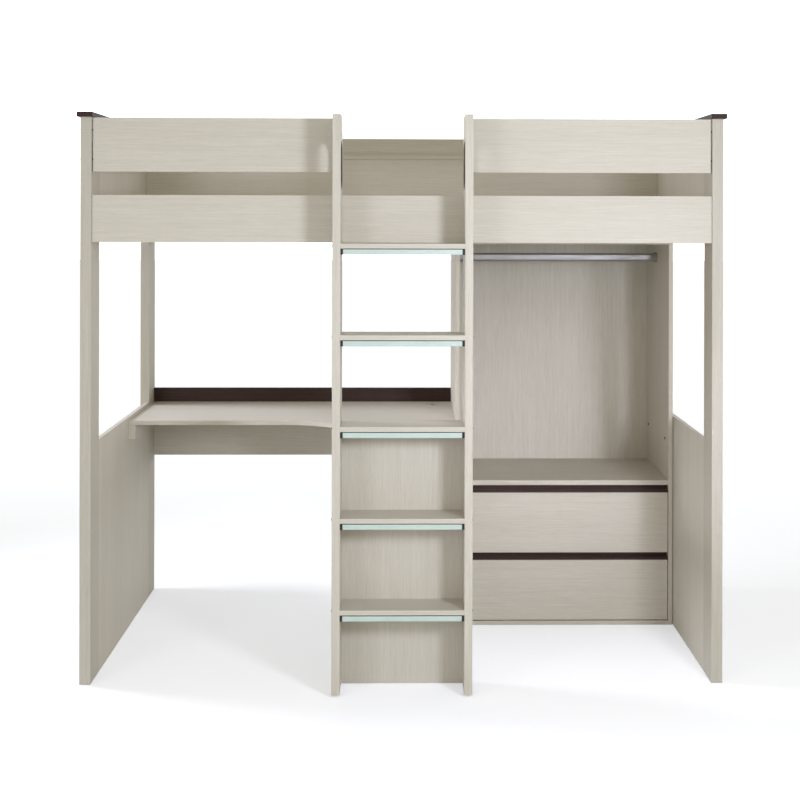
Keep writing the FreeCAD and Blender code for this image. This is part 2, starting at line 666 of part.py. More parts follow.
# Hanging rail: an oval steel tube between two sockets screwed to the wardrobe sides
HANG_Y = f"({WARDROBE_FRONT} + hang_setback)"
HANG_Z = f"({WARDROBE_HEIGHT} - hang_drop)"
tube = new_body("hanging_rail", (f"{BAY_LEFT} + socket_floor + fit", HANG_Y, HANG_Z))
section = sketch_on(tube, "section", "YZ_Plane")
draw_stadium(section, "outside", "hang_wide", "hang_tall")
draw_stadium(section, "inside", "hang_wide - 2 * hang_wall", "hang_tall - 2 * hang_wall")
pad(tube, section, f"{BAY_WIDTH} - 2 * (socket_floor + fit)")
sockets = []
for side, sign in SIDES:
    socket_x = BAY_LEFT if side == "left" else BAY_RIGHT
    socket = new_body(f"{side}_rail_socket", (socket_x, HANG_Y, HANG_Z))
    rim = sketch_on(socket, "rim", "YZ_Plane")
    draw_stadium(rim, "rim", "hang_wide + 2 * socket_rim", "hang_tall + 2 * socket_rim")
    pad(socket, rim, "socket_depth", reverse=side == "right")
    well = sketch_on(socket, "well", "YZ_Plane")
    draw_stadium(well, "well", "hang_wide + 2 * fit", "hang_tall + 2 * fit")
    well.AttachmentOffset = Placement(Vector(0, 0, 1), Rotation())
    bind(well, ".AttachmentOffset.Base.z", f"{-sign} * socket_depth")
    hollow = socket.newObject("PartDesign::Pocket", f"{side}_socket_hollow")
    hollow.Profile = well
    hollow.Reversed = side == "right"
    bind(hollow, "Length", "socket_depth - socket_floor")
    sockets.append(socket)
group("rail_sockets", sockets)

# Drawers: front with a dark pull channel on top, grooved sides, back and thin bottom
FRONT_SPACE = "(shelf_bottom - carcass_thick - 3 * drawer_head_gap) / 2"
FRONT_WIDTH = f"({BAY_WIDTH} - 2 * drawer_gap)"
FRONT_BACK = f"({WARDROBE_FRONT} + front_thick)"
BOX_LEFT = f"({BAY_LEFT} + box_side_gap)"
BOX_RIGHT = f"({BAY_RIGHT} - box_side_gap)"
BOX_INNER = f"({BAY_WIDTH} - 2 * box_side_gap - 2 * box_side_thick)"
runners = []
for number, name in enumerate(DRAWERS):
    front_z = f"(carcass_thick + drawer_head_gap + {number} * ({FRONT_SPACE} + drawer_head_gap))"
    box_z = f"({front_z} + box_lift)"
    bottom_z = f"({box_z} + bottom_lift)"
    runner_z = f"({box_z} + runner_lift)"
    pull_z = f"({front_z} + {FRONT_SPACE} - pull_height)"
    drawer_front = board(
        f"{name}_drawer_front",
        (f"{BAY_LEFT} + drawer_gap", WARDROBE_FRONT, front_z),
        (FRONT_WIDTH, "front_thick", f"{FRONT_SPACE} - pull_height"),
    )
    pull = board(
        f"{name}_drawer_pull",
        (f"{BAY_LEFT} + drawer_gap", WARDROBE_FRONT, pull_z),
        (FRONT_WIDTH, "front_thick", "pull_height"),
    )
    trench(
        pull,
        (f"{BAY_LEFT} + drawer_gap", f"{WARDROBE_FRONT} + pull_wall", f"{pull_z} + pull_wall"),
        (FRONT_WIDTH, "front_thick - 2 * pull_wall", "pull_height"),
    )
    trench(
        pull,
        (f"{BAY_LEFT} + drawer_gap", WARDROBE_FRONT, f"{pull_z} + pull_nose"),
        (FRONT_WIDTH, "front_thick - pull_wall", "pull_height"),
    )
    bottom_room = "bottom_thick + 2 * fit"
    box_sides = []
    for side, sign in SIDES:
        box_x = BOX_LEFT if side == "left" else f"{BOX_RIGHT} - box_side_thick"
        drawer_side = board(
            f"{name}_drawer_{side}_side",
            (box_x, FRONT_BACK, box_z),
            ("box_side_thick", "box_depth", "box_height"),
        )
        box_sides.append(drawer_side)
        groove_x = f"{box_x} + box_side_thick - bottom_groove" if side == "left" else box_x
        trench(
            drawer_side,
            (groove_x, FRONT_BACK, f"{bottom_z} - fit"),
            ("bottom_groove", "box_depth", bottom_room),
        )
        bed_depth = "(runner_wide - box_side_gap + runner_play)"
        bed_x = box_x if side == "left" else f"{box_x} + box_side_thick - {bed_depth}"
        bed_y = f"{WARDROBE_FRONT} + runner_front - runner_play"
        trench(
            drawer_side,
            (bed_x, bed_y, f"{runner_z} - runner_play"),
            (bed_depth, "box_depth", "runner_tall + 2 * runner_play"),
        )
        runner_x = BAY_LEFT if side == "left" else f"{BAY_RIGHT} - runner_wide"
        runner_corner = (runner_x, f"{WARDROBE_FRONT} + runner_front", runner_z)
        runner_size = ("runner_wide", "runner_length", "runner_tall")
        runners.append(block(f"{name}_{side}_runner", runner_corner, runner_size))
    group(f"{name}_drawer_sides", box_sides)
    inner_left = f"{BOX_LEFT} + box_side_thick"
    groove_y = f"{FRONT_BACK} - bottom_groove"
    trench(
        drawer_front,
        (f"{inner_left} - bottom_groove", groove_y, f"{bottom_z} - fit"),
        (f"{BOX_INNER} + 2 * bottom_groove", "bottom_groove", bottom_room),
    )
    board(
        f"{name}_drawer_back",
        (inner_left, f"{FRONT_BACK} + box_depth - box_back_thick", f"{bottom_z} + bottom_thick"),
        (BOX_INNER, "box_back_thick", "box_height - bottom_lift - bottom_thick"),
    )
    board(
        f"{name}_drawer_bottom",
        (f"{inner_left} - bottom_groove + fit", f"{groove_y} + fit", bottom_z),
        (f"{BOX_INNER} + 2 * (bottom_groove - fit)", "box_depth + bottom_groove - fit", "bottom_thick"),
    )
group("drawer_runners", runners)

# Bed bolts: each passes through a post or end panel into a barrel nut in the end of a long board
RAIL_FIXINGS = ("rail_bottom + rail_fix_low", f"{RAIL_TOP} - rail_fix_top")
GUARD_FIXINGS = (f"{GUARD_BOTTOM} + guard_fix_edge", f"{GUARD_TOP} - guard_fix_edge")
WALL_FIXINGS = ("rail_bottom + wall_fix_edge", f"{LEDGE_BOTTOM} - wall_fix_edge")
bolts = []
nuts = []


def bolt_joint(sign, holder, wall, member, member_end, y, z, nut_depth, nut_side):
    """Bolt the end of a long board to a holder of a given thickness, its nut pushed in along nut_side."""
    name = f"{holder.Label}_{member.Label}_{len(bolts)}"
    outer = f"{sign} * ({HALF_CLEAR} + {wall})"
    end = f"{sign} * {member_end}"
    nut_x = f"({end} - {sign} * nut_reach)"
    hole = "bolt_size + bolt_play"
    way = inward(sign)
    bore(holder, (outer, y, z), way, hole, wall, SHANK_SIDES)
    bore(member, (end, y, z), way, hole, "nut_reach + bolt_tip + bolt_play", SHANK_SIDES)
    nut_mouth = f"{y} - {nut_depth}" if nut_side == "+y" else f"{y} + {nut_depth}"
    nut_room = f"{nut_depth} + nut_length / 2"
    bore(member, (nut_x, nut_mouth, z), nut_side, "nut_size + 2 * fit", nut_room, HEAD_SIDES)
    back = "-x" if way == "+x" else "+x"
    head = rod(f"{name}_head", (outer, y, z), back, "bolt_head", "bolt_head_tall", HEAD_SIDES)
    reach = f"{HALF_CLEAR} + {wall} - {member_end} + nut_reach + bolt_tip"
    shank = rod(f"{name}_shank", (outer, y, z), way, "bolt_size", reach, SHANK_SIDES)
    bolts.append(joined(f"{name}_bolt", head, shank))
    nut_end = (nut_x, f"{y} - nut_length / 2", z)
    barrel = rod(f"{name}_barrel", nut_end, "+y", "nut_size", "nut_length", HEAD_SIDES)
    thread_end = (f"{nut_x} + nut_size", y, z)
    tapped = rod(f"{name}_thread", thread_end, "-x", "bolt_size + fit", "2 * nut_size", SHANK_SIDES)
    nuts.append(without(f"{name}_nut", barrel, tapped))


for side, sign in SIDES:
    front_post, rear_post = frame[side, "front_post"], frame[side, "rear_post"]
    guard_end = f"({HALF_CLEAR} - guard_end_gap)"
    for height in RAIL_FIXINGS:
        rail_y = f"{RAIL_FACE} + rail_thick / 2"
        bolt_joint(sign, front_post, "post_thick", front_rail, HALF_CLEAR, rail_y,
                   height, "rail_thick / 2", "-y")
    for height in GUARD_FIXINGS:
        guard_y = f"{RAIL_FACE} + guard_thick / 2"
        bolt_joint(sign, front_post, "post_thick", guards[side], guard_end, guard_y,
                   height, "guard_thick / 2", "-y")
    for height in WALL_FIXINGS:
        wall_y = f"{WELL_REAR} + well_wall_thick / 2"
        bolt_joint(sign, frame[side, "upper_panel"], "end_panel_thick", well_wall, HALF_CLEAR, wall_y,
                   height, "well_wall_thick / 2", "-y")
        rear_y = f"{REAR} - rear_guard_thick / 2"
        bolt_joint(sign, rear_post, "post_thick", rear_guard, HALF_CLEAR, rear_y,
                   height, "rear_guard_thick / 2", "+y")
group("bed_bolts", bolts)
group("barrel_nuts", nuts)

# Screws: treads between the stringers, the ladder onto the bed and its panel, wardrobe to end frame
screws = []


def screw_joint(name, through, into, start, way, wall, head="screw_head", bite="screw_bite"):
    """One screw, its head on a face, through a board of a given thickness into the one behind it."""
    hole = "screw_size + screw_play"
    sign = 1 if way[0] == "+" else -1
    back = ("-" if sign > 0 else "+") + way[1]
    axis = "xyz".index(way[1])
    meeting = list(start)
    meeting[axis] = f"({start[axis]}) + {sign} * ({wall})"
    bore(through, start, way, hole, wall, SHANK_SIDES)
    bore(into, meeting, way, hole, f"{bite} + screw_play", SHANK_SIDES)
    cap = rod(f"{name}_head", start, back, head, "screw_head_tall", HEAD_SIDES)
    shank = rod(f"{name}_shank", start, way, "screw_size", f"({wall}) + {bite}", SHANK_SIDES)
    return joined(f"{name}_screw", cap, shank)


for side, sign in SIDES:
    outer = f"{sign} * ladder_width / 2"
    screw_rows = (f"{STRINGER_FRONT} + tread_screw_edge", f"{RAIL_FACE} - tread_screw_edge")
    for number, tread in enumerate(treads):
        middle_z = f"{tread_top(number)} - tread_thick / 2"
        for row, screw_y in enumerate(screw_rows):
            name = f"{side}_tread_{number + 1}_{row}"
            start = (outer, screw_y, middle_z)
            screws.append(screw_joint(name, stringers[side], tread, start, inward(sign), "stringer_thick"))
    middle = f"{sign} * {STRINGER_MIDDLE}"
    panel_top = tread_top(PANEL_TREAD)
    holds = [(front_rail, "rail_thick", height) for height in RAIL_FIXINGS]
    holds.append((guards[side], "guard_thick", GUARD_FIXINGS[1]))
    for height in ("panel_fix_edge", f"{panel_top} - panel_fix_edge"):
        holds.append((ladder_panel, "ladder_panel_thick", height))
    for number, (member, wall, height) in enumerate(holds):
        name = f"{side}_ladder_{number}"
        start = (middle, f"{RAIL_FACE} + {wall}", height)
        screws.append(screw_joint(name, member, stringers[side], start, "-y", wall))
group("ladder_screws", screws)

joint_screws = []
JOINT_WALL = "carcass_thick + wardrobe_end_gap"
joint_rows = (
    (frame["right", "lower_panel"], f"{WARDROBE_FRONT} + joint_screw_front"),
    (frame["right", "rear_post"], f"{REAR} - joint_screw_rear"),
)
for holder, screw_y in joint_rows:
    name = f"wardrobe_{holder.Label}"
    start = (BAY_RIGHT, screw_y, "desk_height + sill_rise - joint_screw_drop")
    joint_screws.append(screw_joint(name, carcass["right"], holder, start, "+x", JOINT_WALL,
                                    "joint_screw_head", "joint_screw_bite"))
group("wardrobe_screws", joint_screws)

doc.recompute()

# Every object has to be up to date, every cut has to remove material, every solid has to be valid
faults = [item.Name for item in doc.Objects if {"Invalid", "Error"} & set(item.State)]
for item in doc.Objects:
    if item.TypeId.startswith("PartDesign::Subtractive") or item.TypeId == "PartDesign::Pocket":
        if not item.Shape.Volume < item.BaseFeature.Shape.Volume:
            faults.append(f"{item.Name} cuts nothing")
for piece in pieces:
    if piece.Shape.isNull() or not piece.Shape.isValid() or not piece.Shape.Solids:
        faults.append(f"{piece.Label} has no valid solid")
if faults:
    raise RuntimeError("; ".join(faults))

os.makedirs("parts", exist_ok=True)
for piece in pieces:
    piece.Shape.exportStep(f"parts/{piece.Label}.step")
print(f"{len(pieces)} pieces, {sum(len(piece.Shape.Solids) for piece in pieces)} solids")
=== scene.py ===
import math

import bmesh
import bpy
from mathutils import Euler, Matrix, Vector


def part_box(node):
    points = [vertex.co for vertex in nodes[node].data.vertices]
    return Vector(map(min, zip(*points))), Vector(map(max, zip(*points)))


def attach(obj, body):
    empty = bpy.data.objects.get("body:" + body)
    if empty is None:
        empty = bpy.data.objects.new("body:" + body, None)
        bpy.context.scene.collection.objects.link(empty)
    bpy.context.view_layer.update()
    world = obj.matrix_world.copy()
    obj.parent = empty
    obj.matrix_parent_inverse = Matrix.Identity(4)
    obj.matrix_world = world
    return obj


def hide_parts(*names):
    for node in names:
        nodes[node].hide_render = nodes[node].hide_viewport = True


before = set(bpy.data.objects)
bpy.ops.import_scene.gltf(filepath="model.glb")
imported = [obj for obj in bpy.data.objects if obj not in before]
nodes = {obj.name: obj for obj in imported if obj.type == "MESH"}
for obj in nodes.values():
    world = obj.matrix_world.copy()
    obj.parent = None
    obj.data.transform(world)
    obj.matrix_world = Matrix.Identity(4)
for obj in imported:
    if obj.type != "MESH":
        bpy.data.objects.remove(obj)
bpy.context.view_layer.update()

# End frames: posts and panels of chipboard faced with greige melamine, an oak-like print whose grain
# runs upright, with fine pale and dark streaks and a shallow pressed pore. The posts are the same board
# as the panels, but their copy of the print is painted darker as shade. All edges are banded in the same
# print.


def tone(red, green, blue):
    """A colour read from a screen, 0 to 255, as the shader's linear colour."""
    def linear(value):
        share = value / 255
        return share / 12.92 if share <= 0.04045 else ((share + 0.055) / 1.055) ** 2.4
    return (linear(red), linear(green), linear(blue), 1)


def new_group(name, inputs, outputs):
    """An empty shader group with named sockets, and its first and last nodes."""
    group = bpy.data.node_groups.new(name, "ShaderNodeTree")
    for label, kind in inputs:
        group.interface.new_socket(label, in_out="INPUT", socket_type=kind)
    for label, kind in outputs:
        group.interface.new_socket(label, in_out="OUTPUT", socket_type=kind)
    return group, group.nodes.new("NodeGroupInput"), group.nodes.new("NodeGroupOutput")


def stretched_noise(tree, vector, stretch, detail):
    """Noise drawn out along the grain: stretch is how many features lie in a metre along X, Y and Z."""
    mapping = tree.nodes.new("ShaderNodeMapping")
    mapping.inputs["Scale"].default_value = stretch
    noise = tree.nodes.new("ShaderNodeTexNoise")
    noise.inputs["Scale"].default_value = 1
    noise.inputs["Detail"].default_value = detail
    noise.inputs["Roughness"].default_value = 0.55
    tree.links.new(vector, mapping.inputs["Vector"])
    tree.links.new(mapping.outputs["Vector"], noise.inputs["Vector"])
    return noise.outputs["Fac"]


def spread(tree, value, source, target):
    """Map a value from one range to another, clamped."""
    node = tree.nodes.new("ShaderNodeMapRange")
    for socket, number in zip(("From Min", "From Max", "To Min", "To Max"), (*source, *target)):
        node.inputs[socket].default_value = number
    tree.links.new(value, node.inputs["Value"])
    return node.outputs["Result"]


def combine(tree, operation, first, second):
    """One math node on two values, the second a socket or a number."""
    node = tree.nodes.new("ShaderNodeMath")
    node.operation = operation
    tree.links.new(first, node.inputs[0])
    if isinstance(second, (int, float)):
        node.inputs[1].default_value = second
    else:
        tree.links.new(second, node.inputs[1])
    return node.outputs[0]


def weighted(tree, *parts):
    """The sum of several values, each times its weight."""
    total = None
    for value, weight in parts:
        scaled = combine(tree, "MULTIPLY", value, weight)
        total = scaled if total is None else combine(tree, "ADD", total, scaled)
    return total


def mixed(tree, share, first, second):
    """A colour between two others, each a socket or a colour."""
    node = tree.nodes.new("ShaderNodeMix")
    node.data_type = "RGBA"
    tree.links.new(share, node.inputs["Factor"])
    for socket, colour in zip((node.inputs[6], node.inputs[7]), (first, second)):
        if isinstance(colour, tuple):
            socket.default_value = colour
        else:
            tree.links.new(colour, socket)
    return node.outputs[2]


NOISE_MEAN, HALF_WAY = 0.5, 0.5
BAND_STRETCH, BAND_WEIGHT = (0.5, 11, 11), 0.4
STREAK_STRETCH, STREAK_WEIGHT = (3.5, 190, 190), 0.7
HAIR_STRETCH, HAIR_WEIGHT = (14, 620, 620), 1.0
FIGURE_MEAN = (BAND_WEIGHT + STREAK_WEIGHT + HAIR_WEIGHT) * NOISE_MEAN
PORE_STRETCH, PORE_EDGES = (45, 1500, 1500), (0.62, 0.72)
PORE_DARKNESS, PORE_DEPTH = 0.18, 0.8
HAIR_RANGE, BOARD_ROUGHNESS = (0.3, 0.7), (0.46, 0.58)


def grain_group():
    """The printed and pressed grain of a board along X, as a colour, a roughness and a relief."""
    group, first, last = new_group(
        "melamine grain",
        (("Vector", "NodeSocketVector"), ("Pale", "NodeSocketColor"), ("Deep", "NodeSocketColor"),
         ("Contrast", "NodeSocketFloat")),
        (("Color", "NodeSocketColor"), ("Roughness", "NodeSocketFloat"), ("Height", "NodeSocketFloat")),
    )
    place = first.outputs["Vector"]
    bands = stretched_noise(group, place, BAND_STRETCH, detail=1)
    streaks = stretched_noise(group, place, STREAK_STRETCH, detail=2)
    hairs = stretched_noise(group, place, HAIR_STRETCH, detail=1)
    pores = spread(group, stretched_noise(group, place, PORE_STRETCH, detail=0), PORE_EDGES, (0, 1))
    figure = weighted(group, (bands, BAND_WEIGHT), (streaks, STREAK_WEIGHT), (hairs, HAIR_WEIGHT))
    figure = combine(group, "SUBTRACT", figure, FIGURE_MEAN)
    figure = combine(group, "MULTIPLY", figure, first.outputs["Contrast"])
    figure = combine(group, "ADD", figure, HALF_WAY)
    figure = combine(group, "SUBTRACT", figure, combine(group, "MULTIPLY", pores, PORE_DARKNESS))
    share = spread(group, figure, (0, 1), (0, 1))
    colour = mixed(group, share, first.outputs["Deep"], first.outputs["Pale"])
    relief = combine(group, "SUBTRACT", hairs, combine(group, "MULTIPLY", pores, PORE_DEPTH))
    group.links.new(colour, last.inputs["Color"])
    group.links.new(spread(group, hairs, HAIR_RANGE, BOARD_ROUGHNESS), last.inputs["Roughness"])
    group.links.new(relief, last.inputs["Height"])
    return group


def new_material(name):
    """A material with its shader, and the place on the piece as its texture coordinates."""
    material = bpy.data.materials.new(name)
    material.use_nodes = True
    tree = material.node_tree
    place = tree.nodes.new("ShaderNodeTexCoord").outputs["Object"]
    return material, tree, tree.nodes["Principled BSDF"], place


def turned(tree, place, turn):
    """The place turned so that the grain runs along the piece."""
    mapping = tree.nodes.new("ShaderNodeMapping")
    mapping.inputs["Rotation"].default_value = turn
    tree.links.new(place, mapping.inputs["Vector"])
    return mapping.outputs["Vector"]


def roughen(tree, shader, height, depth):
    """Turn a height into relief of a given depth on the shader."""
    bump = tree.nodes.new("ShaderNodeBump")
    bump.inputs["Strength"].default_value = 0.5
    bump.inputs["Distance"].default_value = depth
    tree.links.new(height, bump.inputs["Height"])
    tree.links.new(bump.outputs["Normal"], shader.inputs["Normal"])


melamine_grain = grain_group()
ALONG_BED = (0, 0, 0)
UPRIGHT = (0, math.pi / 2, 0)
FRONT_TO_REAR = (0, 0, math.pi / 2)
PRESSED_DEPTH = 0.00008
BOARD_SHINE = 0.35


def melamine(name, turn, pale, deep, contrast, shine=BOARD_SHINE):
    """Printed board with its grain turned to run along the piece."""
    material, tree, shader, place = new_material(name)
    board = tree.nodes.new("ShaderNodeGroup")
    board.node_tree = melamine_grain
    board.inputs["Pale"].default_value = pale
    board.inputs["Deep"].default_value = deep
    board.inputs["Contrast"].default_value = contrast
    tree.links.new(turned(tree, place, turn), board.inputs["Vector"])
    tree.links.new(board.outputs["Color"], shader.inputs["Base Color"])
    tree.links.new(board.outputs["Roughness"], shader.inputs["Roughness"])
    shader.inputs["Specular IOR Level"].default_value = shine
    roughen(tree, shader, board.outputs["Height"], PRESSED_DEPTH)
    return material


def dress(material, *names):
    """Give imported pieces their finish."""
    for name in names:
        slots = nodes[name].data.materials
        slots.clear()
        slots.append(material)


SIDES = ("left", "right")
PALE_STREAK, DEEP_STREAK = tone(218, 214, 205), tone(188, 183, 171)
# Painted shade: the posts get a darker copy of the same greige print.
PALE_POST_SHADE, DEEP_POST_SHADE = tone(206, 202, 193), tone(177, 172, 160)
GREIGE_CONTRAST = 0.75
greige_upright = melamine("greige melamine upright", UPRIGHT, PALE_STREAK, DEEP_STREAK, GREIGE_CONTRAST)
greige_post_painted_shade = melamine("greige melamine post painted shade", UPRIGHT, PALE_POST_SHADE, DEEP_POST_SHADE, GREIGE_CONTRAST)
for side in SIDES:
    dress(greige_post_painted_shade, f"{side}_front_post", f"{side}_rear_post")
    dress(greige_upright, f"{side}_lower_panel", f"{side}_upper_panel")

# Caps: dark brown boards laid over the top of each end frame, glued and dowelled to the posts.
# The same pressed melamine in a near-black brown, its grain running front to rear.
PALE_BROWN, DEEP_BROWN = tone(74, 58, 54), tone(48, 35, 33)
BROWN_CONTRAST, BROWN_SHINE = 0.8, 0.12


def brown(name, turn):
    """The dark board, duller than the pale one."""
    return melamine(name, turn, PALE_BROWN, DEEP_BROWN, BROWN_CONTRAST, BROWN_SHINE)


dress(brown("brown melamine crosswise", FRONT_TO_REAR), "left_cap", "right_cap")

# Bed box: front rail, guards, the wall behind the mattress, its ledge and the rear guard, all greige
# boards with the grain along the bed. Rail, guards and walls are bolted between the end frames.
greige_along = melamine("greige melamine along", ALONG_BED, PALE_STREAK, DEEP_STREAK, GREIGE_CONTRAST)
dress(greige_along, "front_rail", "left_guard", "right_guard")
dress(greige_along, "well_wall", "bedside_ledge", "rear_guard")

# Bed bolts: steel bolts with wide flat heads and hexagon sockets, through the end frames into barrel
# nuts that are pushed into the boards. Bolts and nuts are blackened, with faint turning marks.
LINE_STRETCH, LINE_WEIGHT = (6, 2600, 2600), 0.6
SMEAR_STRETCH, SMEAR_WEIGHT = (20, 60, 60), 0.4
MARK_RANGE, MARK_DULLNESS = (0.35, 0.65), (-0.09, 0.09)


def drawn_steel_group():
    """Fine marks of turning or drawing along X, as a roughness and a relief."""
    group, first, last = new_group(
        "drawn steel",
        (("Vector", "NodeSocketVector"), ("Dullness", "NodeSocketFloat")),
        (("Roughness", "NodeSocketFloat"), ("Height", "NodeSocketFloat")),
    )
    lines = stretched_noise(group, first.outputs["Vector"], LINE_STRETCH, detail=2)
    smears = stretched_noise(group, first.outputs["Vector"], SMEAR_STRETCH, detail=3)
    marks = weighted(group, (lines, LINE_WEIGHT), (smears, SMEAR_WEIGHT))
    uneven = spread(group, marks, MARK_RANGE, MARK_DULLNESS)
    group.links.new(combine(group, "ADD", uneven, first.outputs["Dullness"]), last.inputs["Roughness"])
    group.links.new(lines, last.inputs["Height"])
    return group


drawn_steel = drawn_steel_group()


def steel(name, colour, dullness, depth):
    """Plated or blackened steel."""
    material, tree, shader, place = new_material(name)
    marks = tree.nodes.new("ShaderNodeGroup")
    marks.node_tree = drawn_steel
    marks.inputs["Dullness"].default_value = dullness
    tree.links.new(place, marks.inputs["Vector"])
    shader.inputs["Base Color"].default_value = colour
    shader.inputs["Metallic"].default_value = 1
    tree.links.new(marks.outputs["Roughness"], shader.inputs["Roughness"])
    roughen(tree, shader, marks.outputs["Height"], depth)
    return material


def corners(points):
    """The low and high corners of the box round some points."""
    low = Vector(min(point[axis] for point in points) for axis in range(3))
    high = Vector(max(point[axis] for point in points) for axis in range(3))
    return low, high


SAME_POINT = 1e-6


def solids(node):
    """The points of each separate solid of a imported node, in the order of their low corners."""
    mesh = bmesh.new()
    mesh.from_mesh(nodes[node].data)
    bmesh.ops.remove_doubles(mesh, verts=mesh.verts, dist=SAME_POINT)
    unseen = set(mesh.verts)
    found = []
    while unseen:
        waiting = [unseen.pop()]
        points = []
        while waiting:
            vertex = waiting.pop()
            points.append(vertex.co.copy())
            joined = {edge.other_vert(vertex) for edge in vertex.link_edges} & unseen
            unseen -= joined
            waiting.extend(joined)
        found.append(points)
    mesh.free()
    return sorted(found, key=lambda points: tuple(corners(points)[0]))


def boxes(node):
    """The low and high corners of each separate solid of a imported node."""
    return [corners(points) for points in solids(node)]


SMOOTH_BELOW = math.radians(40)


def add_piece(name, mesh, material, body, replaced):
    """A finished piece from its mesh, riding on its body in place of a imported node."""
    data = bpy.data.meshes.new(name)
    mesh.to_mesh(data)
    mesh.free()
    data.materials.append(material)
    data.shade_smooth()
    data.set_sharp_from_angle(angle=SMOOTH_BELOW)
    piece = bpy.data.objects.new(name, data)
    bpy.context.scene.collection.objects.link(piece)
    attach(piece, body)
    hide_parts(replaced)


def absorb(mesh, part):
    """Add a finished part to a mesh of several."""
    data = bpy.data.meshes.new("part")
    part.to_mesh(data)
    part.free()
    mesh.from_mesh(data)
    bpy.data.meshes.remove(data)


def loop_edges(verts):
    """The edges between the vertices of one ring."""
    ring = set(verts)
    return [edge for edge in {edge for vert in verts for edge in vert.link_edges}
            if edge.verts[0] in ring and edge.verts[1] in ring]


def raise_ring(mesh, ring, reach, height):
    """Extrude a ring of edges and set it at a height, its reach from the axis given by angle."""
    grown = bmesh.ops.extrude_edge_only(mesh, edges=ring)["geom"]
    verts = [item for item in grown if isinstance(item, bmesh.types.BMVert)]
    for vert in verts:
        angle = math.atan2(vert.co.y, vert.co.x)
        radius = reach(angle)
        vert.co = (radius * math.cos(angle), radius * math.sin(angle), height)
    return loop_edges(verts)


def hexagon(across):
    """Reach of a hexagon socket by angle, from its size across flats."""
    def reach(angle):
        return across / 2 / math.cos((angle + math.pi / 6) % (math.pi / 3) - math.pi / 6)
    return reach


def quarter_round(reach, rise, steps):
    """Points of a quarter ellipse that starts upright and ends level: how far across and how far up."""
    angles = [math.pi / 2 * step / steps for step in range(steps + 1)]
    return [(reach * (1 - math.cos(angle)), rise * math.sin(angle)) for angle in angles]


HEAD_STEPS, SHANK_STEPS, CROWN_STEPS = 48, 16, 3
HEAD_SIDE, HEAD_CROWN = 0.45, 0.78


def drive(head, height, recess, sink, shank, length):
    """One bolt or screw on the Z axis: a crowned head with a driven recess over a plain shank."""
    part = bmesh.new()
    foot = bmesh.ops.create_circle(part, segments=HEAD_STEPS, radius=head / 2)["verts"]
    rim = loop_edges(foot)
    bmesh.ops.edgeloop_fill(part, edges=rim)
    crown = quarter_round((1 - HEAD_CROWN) * head / 2, (1 - HEAD_SIDE) * height, CROWN_STEPS)
    for inwards, up in crown:
        rim = raise_ring(part, rim, lambda angle: head / 2 - inwards, HEAD_SIDE * height + up)
    rim = raise_ring(part, rim, recess, height)
    rim = raise_ring(part, rim, recess, height - sink)
    bmesh.ops.edgeloop_fill(part, edges=rim)
    bmesh.ops.create_cone(
        part, cap_ends=True, segments=SHANK_STEPS, radius1=shank / 2, radius2=shank / 2, depth=length,
        matrix=Matrix.Translation((0, 0, -length / 2)),
    )
    bmesh.ops.recalc_face_normals(part, faces=part.faces)
    return part


# A point further from the axis than this share of the head's width is on the head
HEAD_ONLY = 0.35


def drive_all(node, head, height, recess, sink, shank):
    """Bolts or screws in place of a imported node, each along its solid's longest side, head outermost."""
    mesh = bmesh.new()
    for points in solids(node):
        low, high = corners(points)
        middle, size = (low + high) / 2, high - low
        axis = max(range(3), key=lambda number: size[number])
        across = [number for number in range(3) if number != axis]
        heads = [point[axis] for point in points
                 if max(abs(point[number] - middle[number]) for number in across) > HEAD_ONLY * head]
        side = 1 if sum(heads) / len(heads) > middle[axis] else -1
        outward = Vector(side if number == axis else 0 for number in range(3))
        seat = middle.copy()
        seat[axis] = (high[axis] if side > 0 else low[axis]) - side * height
        place = Matrix.Translation(seat) @ outward.to_track_quat("Z", "Y").to_matrix().to_4x4()
        part = drive(head, height, recess, sink, shank, size[axis] - height)
        bmesh.ops.transform(part, matrix=place, verts=part.verts)
        absorb(mesh, part)
    return mesh


blackened_steel = steel("blackened steel", tone(62, 60, 58), dullness=0.33, depth=0.00002)
HEAD_HEIGHT = 0.0022
BOLT_HEAD, BOLT_SOCKET, BOLT_SINK, BOLT_SHANK = 0.017, 0.004, 0.003, 0.006
bolts = drive_all("bed_bolts", BOLT_HEAD, HEAD_HEIGHT, hexagon(BOLT_SOCKET), BOLT_SINK, BOLT_SHANK)
add_piece("bed_bolt_set", bolts, blackened_steel, "bed", "bed_bolts")

NUT_STEPS, NUT_RIM, NUT_DISH = 24, 0.0008, 0.0003
ALONG_Y = Euler((math.pi / 2, 0, 0)).to_matrix().to_4x4()
nuts = bmesh.new()
for low, high in boxes("barrel_nuts"):
    size = high - low
    made = bmesh.ops.create_cone(
        nuts, cap_ends=True, segments=NUT_STEPS, radius1=size.x / 2, radius2=size.x / 2, depth=size.y,
        matrix=Matrix.Translation((low + high) / 2) @ ALONG_Y,
    )["verts"]
    ends = {face for vert in made for face in vert.link_faces if len(face.verts) == NUT_STEPS}
    bmesh.ops.inset_individual(nuts, faces=list(ends), thickness=NUT_RIM, depth=-NUT_DISH)
add_piece("barrel_nut_set", nuts, blackened_steel, "bed", "barrel_nuts")

# Slatted base: two planed softwood bearers screwed inside the bed box, and fourteen planed slats laid
# across them. The slats' edges are rounded over so that they don't cut the mattress.
GROWTH_STRETCH, GROWTH_WEIGHT = (1.4, 55, 55), 1.6
FIBRE_STRETCH, FIBRE_WEIGHT = (12, 900, 900), 0.7
WOOD_RANGE = (0.75, 1.55)
FIBRE_RANGE, WOOD_ROUGHNESS = (0.3, 0.7), (0.5, 0.68)
FIBRE_DEPTH = 0.0001
PALE_WOOD, DEEP_WOOD = tone(231, 205, 163), tone(196, 160, 112)


